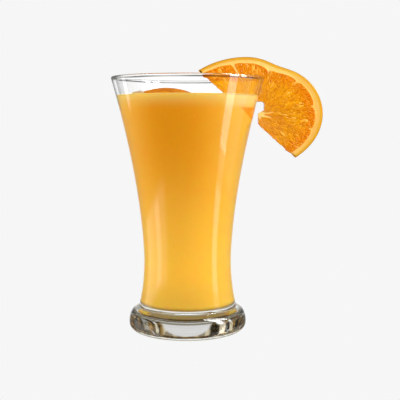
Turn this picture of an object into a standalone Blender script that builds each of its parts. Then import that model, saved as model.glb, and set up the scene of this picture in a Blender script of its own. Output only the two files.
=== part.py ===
"""A flared glass of orange juice with a half slice of orange hung on its rim.

The glass stands on the XY plane with its axis on Z. The slice hangs on the rim at +X, in the XZ plane,
and a wedge of orange floats in the juice with its peel up. Lengths are in metres.
"""

import math

import bmesh
import bpy

MM = 0.001
GAP = 0.3 * MM  # clearance between pieces that touch

# The glass: a thick foot, a waist above it, and a wall that flares to the rim.
GLASS_HEIGHT = 130 * MM
RIM_RADIUS = 38.9 * MM
WAIST_RADIUS = 22.6 * MM
WAIST_HEIGHT = 36 * MM
FLARE_POWER = 1.63  # how late the wall opens out towards the rim
FLOOR_HEIGHT = 13.2 * MM  # top of the solid foot, inside
FLOOR_CORNER = 2.6 * MM
RIM_WALL = 1.9 * MM
FLOOR_WALL = 2.6 * MM
NECK_HEIGHT = 12.4 * MM  # crease where the wall meets the foot
NECK_RADIUS = 25.3 * MM
FOOT_RADIUS = 30.4 * MM
FOOT_WIDEST_HEIGHT = 4.6 * MM
FOOT_CONTACT_RADIUS = 25.4 * MM
SHOULDER_HEIGHT = 12 * MM  # top of the foot's round shoulder
SHOULDER_START = 78  # degrees up from its widest point, where the shoulder leaves the crease
TURN_STEPS = 64

# The juice and its meniscus, the narrow rim that climbs the wall.
JUICE_LEVEL = 120.6 * MM
MENISCUS_HEIGHT = 0.9 * MM
MENISCUS_WIDTH = 2.4 * MM
MENISCUS_POWER = 2.5  # how late the surface turns up towards the wall

# The half slice: an oval cut along a line through its middle, hung in the XZ plane.
SLICE_CENTRE = (30.5 * MM, 111.2 * MM)  # X and Z of the oval's middle
SLICE_HALF_WIDTH = 38.9 * MM
SLICE_HALF_HEIGHT = 29.2 * MM
SLICE_THICKNESS = 5 * MM
SLICE_CUT_ANGLE = math.radians(-41.7)  # direction of the cut edge, from +X
SLICE_CORE = (36.1 * MM, 111.4 * MM)  # X and Z of the point where the membranes meet
PEEL_THICKNESS = 3.5 * MM
PEEL_ROUNDING = 0.8 * MM
MEMBRANE_ANGLES = (165, 117, 77, 39, 7, -16, -60)  # degrees from +X, seen from the front
MEMBRANE_WIDTH = 0.9 * MM
FLESH_RELIEF = 0.35 * MM  # how far each segment stands proud of the pith
FLESH_ROUNDING = 0.3 * MM
CORE_RADIUS = 2.6 * MM
SEGMENT_CORNER_DROP = 0.09  # share of its reach that a segment's outer corner loses
SEGMENT_CORNER_POWER = 6
OVAL_POINTS = 42
SEGMENT_ARC_POINTS = 12
SLIT_CLEARANCE = 0.35 * MM

# The notch beside the wall, where the flesh has torn away from the slit. The core bulges back into it.
NOTCH_LEFT = 33 * MM
NOTCH_RIGHT = 39.2 * MM
NOTCH_ROOF = 117.6 * MM
NOTCH_ROOF_ROUNDING = 1.4 * MM
NOTCH_CORE_EDGE = 36.2 * MM
NOTCH_CORE_TOP = 113.2 * MM
NOTCH_CORE_SLOPE = 1.6 * MM
NOTCH_FLOOR = 98 * MM

# The floating wedge: part of a whole orange, peel up.
WEDGE_PEEL_RADIUS = 36 * MM
WEDGE_TOP_HEIGHT = 124.3 * MM
WEDGE_CENTRE = (-10.2 * MM, 4 * MM)  # X and Y
WEDGE_LENGTH = 32 * MM
WEDGE_DEPTH = 20 * MM
WEDGE_HALF_ANGLE = math.radians(24)
WEDGE_TURN = math.radians(12)
WEDGE_TILT = math.radians(4)

# Cutters are this much larger than what they cut.
CUTTER_MARGIN = 6 * MM
CUT_TRIM = 0.02 * MM  # keeps the cut edge's cutter off the slice's own edge


def clear_scene():
    for obj in list(bpy.data.objects):
        bpy.data.objects.remove(obj, do_unlink=True)


def new_collection(name):
    collection = bpy.data.collections.new(name)
    bpy.context.scene.collection.children.link(collection)
    return collection


def material(name, colour, roughness, transmission=0.0, ior=1.45):
    made = bpy.data.materials.new(name)
    made.use_nodes = True
    shader = made.node_tree.nodes["Principled BSDF"]
    shader.inputs["Base Color"].default_value = (*colour, 1)
    shader.inputs["Roughness"].default_value = roughness
    shader.inputs["Metallic"].default_value = 0
    shader.inputs["Transmission Weight"].default_value = transmission
    shader.inputs["IOR"].default_value = ior
    made.diffuse_color = (*colour, 1)
    return made


def outer_radius(z):
    """The wall's outside: a power curve above the waist, a parabola below it."""
    if z >= WAIST_HEIGHT:
        share = (z - WAIST_HEIGHT) / (GLASS_HEIGHT - WAIST_HEIGHT)
        return WAIST_RADIUS + (RIM_RADIUS - WAIST_RADIUS) * share**FLARE_POWER
    share = (WAIST_HEIGHT - z) / (WAIST_HEIGHT - NECK_HEIGHT)
    return WAIST_RADIUS + (NECK_RADIUS - WAIST_RADIUS) * share**2


def wall_thickness(z):
    share = (GLASS_HEIGHT - z) / (GLASS_HEIGHT - FLOOR_HEIGHT)
    return RIM_WALL + (FLOOR_WALL - RIM_WALL) * share


def inner_radius(z):
    return outer_radius(z) - wall_thickness(z)


def spread(start, end, count):
    """Evenly spaced values from start to end, both included."""
    return [start + (end - start) * i / (count - 1) for i in range(count)]


def arc(centre, radii, start, end, count):
    """Points of an elliptical arc, as (radius, height); angles in degrees from the outward direction."""
    angles = [math.radians(a) for a in spread(start, end, count)]
    return [(centre[0] + radii[0] * math.cos(a), centre[1] + radii[1] * math.sin(a)) for a in angles]


def glass_profile():
    """From the middle of the floor, up the inside, over the rim, down the outside and the foot."""
    corner_z = FLOOR_HEIGHT + FLOOR_CORNER
    corner_r = inner_radius(corner_z) - FLOOR_CORNER
    lip = RIM_WALL / 2
    lip_z = GLASS_HEIGHT - lip
    points = [(0, FLOOR_HEIGHT)]
    points += arc((corner_r, corner_z), (FLOOR_CORNER, FLOOR_CORNER), -90, 0, 5)
    points += [(inner_radius(z), z) for z in spread(corner_z, lip_z, 13)[1:-1]]
    points += arc((outer_radius(lip_z) - lip, lip_z), (lip, lip), 180, 0, 7)
    points += [(outer_radius(z), z) for z in spread(lip_z, NECK_HEIGHT, 14)[1:]]
    foot_centre = (FOOT_CONTACT_RADIUS, FOOT_WIDEST_HEIGHT)
    bulge = FOOT_RADIUS - FOOT_CONTACT_RADIUS
    points += arc(foot_centre, (bulge, SHOULDER_HEIGHT - FOOT_WIDEST_HEIGHT), SHOULDER_START, 0, 7)
    points += arc(foot_centre, (bulge, FOOT_WIDEST_HEIGHT), 0, -90, 6)[1:]
    return points + [(0, 0)]


def juice_profile():
    """From the middle of the surface, over the meniscus, down the wall and across the floor."""
    top = JUICE_LEVEL + MENISCUS_HEIGHT
    corner_z = FLOOR_HEIGHT + FLOOR_CORNER
    corner = FLOOR_CORNER - GAP
    corner_r = inner_radius(corner_z) - FLOOR_CORNER
    edge = inner_radius(top) - GAP
    points = [(0, JUICE_LEVEL)]
    for share in spread(0, 1, 5):
        rise = MENISCUS_HEIGHT * share**MENISCUS_POWER
        points.append((edge - MENISCUS_WIDTH * (1 - share), JUICE_LEVEL + rise))
    points += [(inner_radius(z) - GAP, z) for z in spread(top, corner_z, 13)[1:-1]]
    points += arc((corner_r, corner_z), (corner, corner), 0, -90, 4)
    return points + [(0, FLOOR_HEIGHT + GAP)]


def slit_profile():
    """The upper wall, grown by the slit's clearance on both sides and over the rim."""
    lip = RIM_WALL / 2
    lip_z = GLASS_HEIGHT - lip
    grown = lip + SLIT_CLEARANCE
    heights = spread(NOTCH_FLOOR, lip_z, 9)
    points = [(inner_radius(z) - SLIT_CLEARANCE, z) for z in heights[:-1]]
    points += arc((outer_radius(lip_z) - lip, lip_z), (grown, grown), 180, 0, 9)
    return points + [(outer_radius(z) + SLIT_CLEARANCE, z) for z in reversed(heights[:-1])]


def turned(name, profile, collection, closed=False):
    """A solid turned about Z from a profile of (radius, height) points."""
    mesh = bpy.data.meshes.new(name)
    edges = [(i, i + 1) for i in range(len(profile) - 1)]
    if closed:
        edges.append((len(profile) - 1, 0))
    mesh.from_pydata([(r, 0, z) for r, z in profile], edges, [])
    obj = bpy.data.objects.new(name, mesh)
    collection.objects.link(obj)
    screw = obj.modifiers.new("Turn", "SCREW")
    screw.axis = "Z"
    screw.steps = TURN_STEPS
    screw.render_steps = TURN_STEPS
    screw.use_merge_vertices = True
    screw.merge_threshold = 0.00002
    screw.use_smooth_shade = True
    return obj


def flat_solid(name, outline, thickness, collection, rounding=0.0):
    """A flat outline in the object's own XY plane, given a thickness along its Z and rounded edges."""
    curve = bpy.data.curves.new(name, "CURVE")
    curve.dimensions = "2D"
    curve.fill_mode = "BOTH"
    curve.extrude = thickness / 2 - rounding
    curve.bevel_depth = rounding
    curve.bevel_resolution = 0
    curve.offset = -rounding
    spline = curve.splines.new("POLY")
    spline.points.add(len(outline) - 1)
    for point, (x, y) in zip(spline.points, outline):
        point.co = (x, y, 0, 1)
    spline.use_cyclic_u = True
    source = bpy.data.objects.new(name + "_outline", curve)
    collection.objects.link(source)
    bpy.context.view_layer.update()
    graph = bpy.context.evaluated_depsgraph_get()
    mesh = bpy.data.meshes.new_from_object(source.evaluated_get(graph))
    bpy.data.objects.remove(source, do_unlink=True)
    bpy.data.curves.remove(curve)
    weld_and_face_outwards(mesh)
    mesh.name = name
    obj = bpy.data.objects.new(name, mesh)
    collection.objects.link(obj)
    return obj


def weld_and_face_outwards(mesh):
    shape = bmesh.new()
    shape.from_mesh(mesh)
    bmesh.ops.remove_doubles(shape, verts=shape.verts, dist=0.00001)
    bmesh.ops.recalc_face_normals(shape, faces=shape.faces)
    shape.to_mesh(mesh)
    shape.free()


def hang(obj):
    """Stands a flat solid up in the XZ plane."""
    obj.rotation_euler = (math.radians(90), 0, 0)
    return obj


def hide_helper(obj):
    obj.hide_render = True
    obj.display_type = "WIRE"
    return obj


def boolean(obj, operation, other, solver="EXACT"):
    modifier = obj.modifiers.new(operation.title() + " " + other.name, "BOOLEAN")
    modifier.operation = operation
    modifier.solver = solver
    if isinstance(other, bpy.types.Collection):
        modifier.operand_type = "COLLECTION"
        modifier.collection = other
    else:
        modifier.object = other


def apply_modifiers(obj):
    """Replaces the object's mesh by its evaluated one."""
    bpy.context.view_layer.update()
    graph = bpy.context.evaluated_depsgraph_get()
    mesh = bpy.data.meshes.new_from_object(obj.evaluated_get(graph))
    obj.modifiers.clear()
    obj.data = mesh


def finish(obj, finish_material, smooth_angle=35):
    obj.data.materials.clear()
    obj.data.materials.append(finish_material)
    obj.data.shade_smooth()
    obj.data.set_sharp_from_angle(angle=math.radians(smooth_angle))


def make_glass(collection):
    glass = turned("glass", glass_profile(), collection)
    finish(glass, material("clear glass", (0.95, 0.96, 0.95), 0.02, 1.0, 1.5), 60)
    return glass


def cut_edge_point(along, across):
    """A point in the slice's plane: along the cut edge from the oval's middle, and outwards across it."""
    direction = (math.cos(SLICE_CUT_ANGLE), math.sin(SLICE_CUT_ANGLE))
    return (
        SLICE_CENTRE[0] + direction[0] * along + direction[1] * across,
        SLICE_CENTRE[1] + direction[1] * along - direction[0] * across,
    )


def reach_to_oval(start, angle, half_width, half_height):
    """Distance from start, in the direction of angle, to an oval about the slice's middle."""
    x, z = start[0] - SLICE_CENTRE[0], start[1] - SLICE_CENTRE[1]
    dx, dz = math.cos(angle) / half_width, math.sin(angle) / half_height
    a = dx * dx + dz * dz
    b = x * dx / half_width + z * dz / half_height
    c = (x / half_width) ** 2 + (z / half_height) ** 2 - 1
    return (-b + math.sqrt(b * b - a * c)) / a


def half_oval(grow=0.0):
    """The slice's outline, grown by grow: the upper right half of the oval, closed by the cut edge."""
    half_width, half_height = SLICE_HALF_WIDTH + grow, SLICE_HALF_HEIGHT + grow
    start = cut_edge_point(0, grow)
    turns = []
    for angle in (SLICE_CUT_ANGLE, SLICE_CUT_ANGLE + math.pi):
        reach = reach_to_oval(start, angle, half_width, half_height)
        x = start[0] + reach * math.cos(angle) - SLICE_CENTRE[0]
        z = start[1] + reach * math.sin(angle) - SLICE_CENTRE[1]
        turns.append(math.atan2(z / half_height, x / half_width))
    return [
        (SLICE_CENTRE[0] + half_width * math.cos(t), SLICE_CENTRE[1] + half_height * math.sin(t))
        for t in spread(turns[0], turns[1], OVAL_POINTS)
    ]


def flesh_reach(angle):
    """Distance from the core to the inside of the peel, in the direction of angle."""
    inside = (SLICE_HALF_WIDTH - PEEL_THICKNESS, SLICE_HALF_HEIGHT - PEEL_THICKNESS)
    return reach_to_oval(SLICE_CORE, angle, *inside)


def segment_outline(start, end):
    """One segment of flesh, a wedge from the core with rounded outer corners."""
    middle = (start + end) / 2
    half = abs(start - end) / 2
    points = []
    for share in spread(-1, 1, SEGMENT_ARC_POINTS):
        drop = SEGMENT_CORNER_DROP * abs(share) ** SEGMENT_CORNER_POWER
        reach = flesh_reach(middle + half * share) * (1 - drop)
        angle = middle + (half - MEMBRANE_WIDTH / 2 / reach) * share
        points.append((SLICE_CORE[0] + reach * math.cos(angle), SLICE_CORE[1] + reach * math.sin(angle)))
    tip = (SLICE_CORE[0] + CORE_RADIUS * math.cos(middle), SLICE_CORE[1] + CORE_RADIUS * math.sin(middle))
    return [*points, tip]


def make_slice(collection, helpers):
    """The peel and pith as one plate, with the raised segments joined to it and the slit cut out."""
    plate = hang(flat_solid("orange_slice", half_oval(), SLICE_THICKNESS, collection, PEEL_ROUNDING))
    segments = new_collection("flesh segments")
    angles = [math.radians(a) for a in MEMBRANE_ANGLES]
    for number, (start, end) in enumerate(zip(angles, angles[1:]), 1):
        name = f"segment_{number}"
        thickness = SLICE_THICKNESS + 2 * FLESH_RELIEF
        hang(flat_solid(name, segment_outline(start, end), thickness, segments, FLESH_ROUNDING))
    boolean(plate, "UNION", segments, "MANIFOLD")  # the exact solver leaves open edges here
    apply_modifiers(plate)
    for obj in list(segments.objects):
        bpy.data.objects.remove(obj, do_unlink=True)
    bpy.data.collections.remove(segments)
    slit = hide_helper(turned("slit_cutter", slit_profile(), helpers, closed=True))
    for cutter in (below_cut_edge(helpers), slit, notch(helpers)):
        boolean(plate, "DIFFERENCE", cutter, "MANIFOLD")
    finish(plate, material("orange flesh and peel", (0.92, 0.42, 0.03), 0.35))
    return plate


def below_cut_edge(helpers):
    """Removes what the segments would add beyond the straight cut edge."""
    reach = SLICE_HALF_WIDTH + CUTTER_MARGIN
    depth = SLICE_HALF_HEIGHT + CUTTER_MARGIN
    outline = [
        cut_edge_point(along, across)
        for along, across in ((-reach, CUT_TRIM), (-reach, depth), (reach, depth), (reach, CUT_TRIM))
    ]
    thickness = SLICE_THICKNESS + 2 * CUTTER_MARGIN
    return hide_helper(hang(flat_solid("cut_edge_cutter", outline, thickness, helpers)))


def notch(helpers):
    roof_corner = (NOTCH_RIGHT - NOTCH_ROOF_ROUNDING, NOTCH_ROOF - NOTCH_ROOF_ROUNDING)
    rounding = (NOTCH_ROOF_ROUNDING, NOTCH_ROOF_ROUNDING)
    outline = [
        (NOTCH_LEFT, NOTCH_ROOF),
        *arc(roof_corner, rounding, 90, 0, 4),
        (NOTCH_RIGHT, NOTCH_CORE_TOP),
        (NOTCH_CORE_EDGE, NOTCH_CORE_TOP - NOTCH_CORE_SLOPE),
        (NOTCH_CORE_EDGE, NOTCH_FLOOR),
        (NOTCH_LEFT, NOTCH_FLOOR),
    ]
    thickness = SLICE_THICKNESS + 2 * CUTTER_MARGIN
    return hide_helper(hang(flat_solid("notch_cutter", outline, thickness, helpers)))


def wedge_solid(name, collection, helpers, grow=0.0):
    """Part of a ball between two sloping planes and two upright ends, grown by grow all round."""
    centre = (*WEDGE_CENTRE, WEDGE_TOP_HEIGHT - WEDGE_PEEL_RADIUS)
    bpy.ops.mesh.primitive_uv_sphere_add(
        segments=TURN_STEPS,
        ring_count=TURN_STEPS // 2,
        radius=WEDGE_PEEL_RADIUS + grow,
        location=centre,
        rotation=(0, math.radians(90), 0),
    )
    ball = bpy.context.object
    ball.name = name
    for owner in list(ball.users_collection):
        owner.objects.unlink(ball)
    collection.objects.link(ball)
    low = WEDGE_PEEL_RADIUS - WEDGE_DEPTH - grow
    high = WEDGE_PEEL_RADIUS + CUTTER_MARGIN
    side = grow / math.cos(WEDGE_HALF_ANGLE)
    slope = math.tan(WEDGE_HALF_ANGLE)
    outline = [
        (-low * slope - side, low),
        (low * slope + side, low),
        (high * slope + side, high),
        (-high * slope - side, high),
    ]
    block = flat_solid(name + "_block", outline, WEDGE_LENGTH + 2 * grow, helpers)
    block.location = centre
    block.rotation_euler = (math.radians(90) + WEDGE_TILT, 0, math.radians(90) + WEDGE_TURN)
    boolean(ball, "INTERSECT", hide_helper(block))
    return ball


def make_wedge(collection, helpers):
    wedge = wedge_solid("orange_wedge", collection, helpers)
    finish(wedge, material("orange peel", (0.86, 0.29, 0.02), 0.4))
    return wedge


def make_juice(collection, helpers):
    """The drink up to its level, cut round the slice's dipped end and the floating wedge."""
    juice = turned("juice", juice_profile(), collection)
    thickness = SLICE_THICKNESS + 2 * (FLESH_RELIEF + GAP)
    pocket = hide_helper(hang(flat_solid("slice_pocket_cutter", half_oval(GAP), thickness, helpers)))
    boolean(juice, "DIFFERENCE", pocket)
    wedge_pocket = wedge_solid("wedge_pocket_cutter", helpers, helpers, GAP)
    apply_modifiers(wedge_pocket)
    boolean(juice, "DIFFERENCE", hide_helper(wedge_pocket))
    finish(juice, material("orange juice", (0.93, 0.5, 0.06), 0.15), 40)
    return juice


def main():
    clear_scene()
    parts = new_collection("glass of orange juice")
    helpers = new_collection("cutters")
    make_glass(parts)
    make_slice(parts, helpers)
    make_wedge(parts, helpers)
    make_juice(parts, helpers)


main()
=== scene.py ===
"""Looks for a flared glass of orange juice with a half slice of orange hung on its rim.

The glass stands on the XY plane with its axis on Z. The slice hangs on the rim at +X, in the XZ plane. A
wedge of orange floats in the juice with its peel up, and the camera looks along +Y. Lengths are in metres.

Each piece is a closed surface: a profile turned about Z, or rings of points joined in their order. Its
finish is worked out from Object coordinates and, on the slice, from values that its mesh carries.
"""

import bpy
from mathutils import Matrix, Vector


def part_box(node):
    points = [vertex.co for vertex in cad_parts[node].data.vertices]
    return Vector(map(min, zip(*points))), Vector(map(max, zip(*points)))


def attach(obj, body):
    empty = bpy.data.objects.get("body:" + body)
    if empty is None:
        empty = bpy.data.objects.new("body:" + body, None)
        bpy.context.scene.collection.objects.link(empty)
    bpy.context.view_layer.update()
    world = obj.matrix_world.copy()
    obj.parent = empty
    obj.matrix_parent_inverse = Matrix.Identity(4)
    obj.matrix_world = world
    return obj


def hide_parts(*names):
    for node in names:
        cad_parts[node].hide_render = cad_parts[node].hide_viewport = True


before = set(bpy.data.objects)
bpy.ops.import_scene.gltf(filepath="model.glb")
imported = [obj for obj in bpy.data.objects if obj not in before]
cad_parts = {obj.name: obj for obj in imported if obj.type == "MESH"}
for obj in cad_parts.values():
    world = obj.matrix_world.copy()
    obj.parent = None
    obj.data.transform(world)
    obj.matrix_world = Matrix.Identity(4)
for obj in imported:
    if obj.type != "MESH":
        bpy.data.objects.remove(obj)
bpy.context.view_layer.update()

import math

import bpy
import numpy as np

MM = 0.001

# The glass, as the frame has it: a thick foot, a waist above it, and a wall that flares to the rim.
GLASS_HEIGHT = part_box("glass")[1].z
RIM_RADIUS = 38.9 * MM
WAIST_RADIUS = 22.6 * MM
WAIST_HEIGHT = 36 * MM
FLARE_POWER = 1.63
FLOOR_HEIGHT = 13.2 * MM
FLOOR_CORNER = 2.6 * MM
RIM_WALL = 1.9 * MM
FLOOR_WALL = 2.6 * MM
NECK_HEIGHT = 12.4 * MM
NECK_RADIUS = 25.3 * MM
FOOT_RADIUS = 30.4 * MM
FOOT_WIDEST_HEIGHT = 4.6 * MM
FOOT_CONTACT_RADIUS = 25.4 * MM
SHOULDER_HEIGHT = 12 * MM
SHOULDER_START = 78
LIP_SQUARENESS = 0.5
CREASE_SOFTNESS = 0.25 * MM
FOOT_SQUARENESS = 0.8
TURN_STEPS = 256

# The juice reaches a little into the wall, so that no air shows between them.
JUICE_LEVEL = 120.6 * MM
MENISCUS_HEIGHT = 0.45 * MM
MENISCUS_WIDTH = 2.4 * MM
MENISCUS_POWER = 2.5
JUICE_REACH = 0.25 * MM
FRUIT_MENISCUS = 0.7 * MM
FRUIT_MENISCUS_FADE = 1.1 * MM

# The half slice on the rim. Its oval is drawn in a little all round, and more at its upper right.
SLICE_CENTRE = np.array([30.5, 111.2]) * MM
SLICE_HALF_SIZE = np.array([38.9, 29.2]) * MM
FLATTENING_ALL = 0.01
FLATTENING = 0.062
FLATTENING_ANGLE = math.radians(57)
FLATTENING_SPREAD = math.radians(18)
SLICE_THICKNESS = 5 * MM
SLICE_CUT_ANGLE = math.radians(-41.7)
SLICE_CORE = np.array([36.1, 111.4]) * MM
PEEL_THICKNESS = 3.5 * MM
MEMBRANE_ANGLES = np.radians([165, 117, 77, 39, 7, -16, -60])
MEMBRANE_BOLDNESS = np.array([1, 1, 0, 0, 0.3, 0.3, 0])
MEMBRANE_WIDTH = 0.7 * MM
MEMBRANE_RIPPLE = 0.12 * MM
PITH_TRIM = 0.35 * MM
PITH_SWELL = 0.5 * MM  # the pith is this much thicker at the right, and thinner at the left
PITH_RIPPLE = 0.25 * MM
FLESH_RELIEF = 0.35 * MM
SAC_LUMP = 0.09 * MM
FINE_SAC_LUMP = 0.06 * MM
CUT_RIPPLE = 0.28 * MM
FINE_CUT_RIPPLE = 0.12 * MM
CORE_RADIUS = 2.2 * MM
SLIT_CLEARANCE = 0.1 * MM
SLIT_BOTTOM = 100 * MM
NOTCH_LEFT = 33 * MM
NOTCH_RIGHT = 39.2 * MM
NOTCH_ROOF = 117.6 * MM
NOTCH_ROOF_ROUNDING = 1.4 * MM
NOTCH_CORE_EDGE = 36.2 * MM
NOTCH_CORE_TOP = 113.2 * MM
NOTCH_CORE_SLOPE = 1.6 * MM
NOTCH_FLOOR = 98 * MM
NOTCH_HALF_DEPTH = 5 * MM

# The floating wedge: part of a whole orange, peel up.
WEDGE_PEEL_RADIUS = 36 * MM
WEDGE_TOP_HEIGHT = 124.8 * MM
WEDGE_CENTRE = np.array([-11, 4]) * MM
WEDGE_LENGTH = 32 * MM
WEDGE_DEPTH = 20 * MM
WEDGE_HALF_ANGLE = math.radians(24)
WEDGE_TURN = math.radians(12)
WEDGE_TILT = math.radians(4)

# A fleck of pulp afloat beside the wedge.
FLECK_PLACE = np.array([-23.6, -12, 121.7]) * MM
FLECK_HALF_SIZE = np.array([2.7, 1.7, 1.0]) * MM

# The camera.
CAMERA_PLACE = (6.45 * MM, -414.6 * MM, 107.3 * MM)
CAMERA_PITCH = math.radians(5.53)
CAMERA_LENS = 72.54
SENSOR_WIDTH = 36

# The glass's colours, in linear light: clear, with painted shade for dark lines at the lip and the shoulder,
# and painted reflections in browns and golds at the foot's corners.
WHITE = (1, 1, 1, 1)
GLASS_INSIDE = (0.8, 0.83, 0.83, 1)
GLASS_DENSITY = 22.0
GLASS_IOR = 1.5
GLASS_FOR_LAMPS = (0.97, 0.98, 0.98, 1)
LIP_PAINTED_SHADE = (0.15, 0.15, 0.14, 1)
LIP_LINE_HEIGHT = 128.75 * MM
SHOULDER_PAINTED_SHADE = (0.12, 0.09, 0.05, 1)
FOOT_PAINTED_DARK_REFLECTION = (0.16, 0.11, 0.05, 1)
FOOT_PAINTED_GOLD_REFLECTION = (0.8, 0.6, 0.3, 1)
FOOT_PANE_HALF_WIDTH = 11.5 * MM
FOOT_PANE_TOP = 8.8 * MM
FOOT_PANE_DEPTH = 5.5 * MM

# The juice's colours behind the glass, with painted light and shade in the body, then those of its open
# surface.
JUICE_LOW_PAINTED_LIGHT = (0.87, 0.49, 0.047, 1)
JUICE_HIGH_PAINTED_SHADE = (0.74, 0.30, 0.0045, 1)
JUICE_NEAR_FOOT = (0.68, 0.41, 0.05, 1)
JUICE_SIDES_PAINTED_LIGHT = (0.83, 0.48, 0.055, 1)
JUICE_BITS = (0.95, 0.5, 0.08, 1)
JUICE_PAINTED_GLOW_BAND = (0.68, 0.53, 0.13, 1)
JUICE_PAINTED_LIGHT_BAND = (0.86, 0.60, 0.22, 1)
DIPPED_SLICE = (0.86, 0.27, 0.0005, 1)
JUICE_CORNER_PAINTED_SHADE = (0.33, 0.21, 0.06, 1)
JUICE_UNDERSIDE = (0.62, 0.43, 0.15, 1)
JUICE_BRIM = (0.5, 0.3, 0.09, 1)
SURFACE_ORANGE = (0.8, 0.36, 0.03, 1)
SURFACE_FROTH = (0.86, 0.48, 0.1, 1)
SURFACE_EDGE = (0.5, 0.27, 0.07, 1)
CLOUD_SHIFT = 12 * MM  # how far noise moves the body's colours up and down
BAND_SHIFT = 2 * MM  # the same for the pale band
DIPPED_SLOPE = 0.93  # x + slope * z stays the same along the dipped end's edge
JUICE_IOR = 1.34

# The slice's colours: its juice sacs with painted glints and painted light inside the glass, then pith,
# membranes and core, then the rind.
SAC_DEEP = (0.58, 0.155, 0.0001, 1)
SAC_LIGHT = (0.77, 0.30, 0.0004, 1)
SAC_NEAR_PEEL = (0.66, 0.15, 0.0001, 1)
SAC_EDGE = (0.88, 0.41, 0.003, 1)
SAC_PAINTED_GLINT = (0.97, 0.56, 0.08, 1)
SAC_PAINTED_SPARK = (0.97, 0.62, 0.11, 1)
SAC_SHADE = (0.6, 0.15, 0.0004, 1)
SAC_PAINTED_LIGHT_IN_GLASS = (0.93, 0.47, 0.003, 1)
PITH_DEEP = (0.82, 0.45, 0.08, 1)
PITH_PALE = (0.88, 0.60, 0.19, 1)
PITH_RIGHT = (0.70, 0.345, 0.045, 1)
MEMBRANE_THIN = (0.78, 0.28, 0.003, 1)
CORE_PALE = (0.9, 0.62, 0.2, 1)
RIND_EDGE = (0.42, 0.205, 0.009, 1)
RIND_BODY = (0.67, 0.34, 0.018, 1)
RIND_PORES = (0.6, 0.23, 0.006, 1)
SACS_AROUND = 24.0  # juice sacs in a radian of turn
SACS_ACROSS = 400.0  # layers of sacs in a metre of the slice's depth
SAC_LENGTH = 2.7 * MM
SAC_SWAY = 2.2  # how far noise moves them round, in sacs
SEGMENT_SHIFT = 7.3  # sets each segment's sacs apart from the next one's

# The floating wedge's peel, and the fleck of pulp.
PEEL_DEEP = (0.54, 0.145, 0.001, 1)
PEEL_LIGHT = (0.66, 0.215, 0.004, 1)
PULP_TAN = (0.45, 0.30, 0.15, 1)
PULP_PALE = (0.68, 0.50, 0.27, 1)

# The studio as glass shows it: a bright window straight behind, a brown and gold table on both sides of it,
# and darker browns high up.
BACKDROP = 0.922  # the flat pale grey behind everything
WINDOW = (0.9, 0.87, 0.85, 1)
TABLE_DARK = (0.02, 0.012, 0.006, 1)
TABLE_GOLD = (0.42, 0.27, 0.08, 1)
WINDOW_HEAD = (0.35, 0.22, 0.07, 1)
HIGH_BROWN = (0.13, 0.09, 0.04, 1)

# The studio's greys: through glass, then in reflections, then as the light that dull things get.
BRIGHT_FRONT = 2.6
LEVEL_BEHIND = 1.16
LEVEL_IN_FRONT = 1.0
LEVEL_MIRRORED = 1.6
FLOOR_SEEN = 0.88
FLOOR_MIRRORED = 0.05
REFLECTED_FLOOR = 0.9
REFLECTED_CEILING = 0.1
SOFT_LIGHT = 0.55

# Bright strips that show through the foot's sides: how far round from straight behind, half their width in
# degrees, and their light.
TABLE_STRIPS = ((-15.5, 1.6, 1.6), (-25, 1.0, 1.4), (29, 0.5, 1.0), (41, 2.5, 0.4))

# The wall of light panels that reflections show: twelve at the right of the camera, then six at its left.
# Each panel: the turn of its middle and its width in degrees, how softly its sides fade in degrees, its
# lowest and highest point and their fade in millimetres, its light.
WALL_RADIUS = 175 * MM
WALL_HEIGHT = 400 * MM
WALL_STEPS = 96
LIGHT_PANELS = (
    (69, 13, 1.5, 39, 90, 3, 3.6),
    (69, 13, 1.5, 58, 70, 3, 1.0),
    (67, 14, 2, 105, 170, 12, 22),
    (84, 9, 2, 105, 170, 12, 16),
    (62, 11, 1.5, 170, 400, 12, 26),
    (80, 9, 1.5, 170, 400, 12, 20),
    (70.5, 9, 5, -25, 20, 5, 2.6),
    (70.5, 9, 5, 25, 39, 3, 1.0),
    (63, 5, 2, -400, -30, 5, 7),
    (79, 4, 2, -400, -30, 5, 5),
    (85, 70, 14, -400, -38, 10, 0.8),
    (82, 36, 12, 34, 120, 10, 0.35),
    (-73, 8, 6, -25, 15, 5, 1.4),
    (-65, 3, 1.5, -400, -30, 5, 6),
    (-83, 50, 16, -400, 16, 8, 1.0),
    (-102, 6, 2, 84, 96, 12, 2.6),
    (-69, 4, 2, 105, 400, 12, 2.5),
    (-90, 18, 8, 105, 400, 20, 0.7),
)

# The lamps: name, place, size and power. All face one point.
LAMP_AIM = (0, 0, 70 * MM)
LAMPS = (
    ("right light", (0.7, -0.35, 0.35), (0.35, 0.7), 5.6),
    ("left light", (-0.75, -0.05, 0.3), (0.5, 0.7), 5),
    ("front light", (0.1, -1.1, 0.5), (0.6, 0.5), 4.6),
    ("back light", (0.1, 0.8, 0.5), (0.9, 0.6), 3.2),
)

FLOOR_REACH = 4.0
FLOOR_LEVEL = -0.4 * MM


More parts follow.
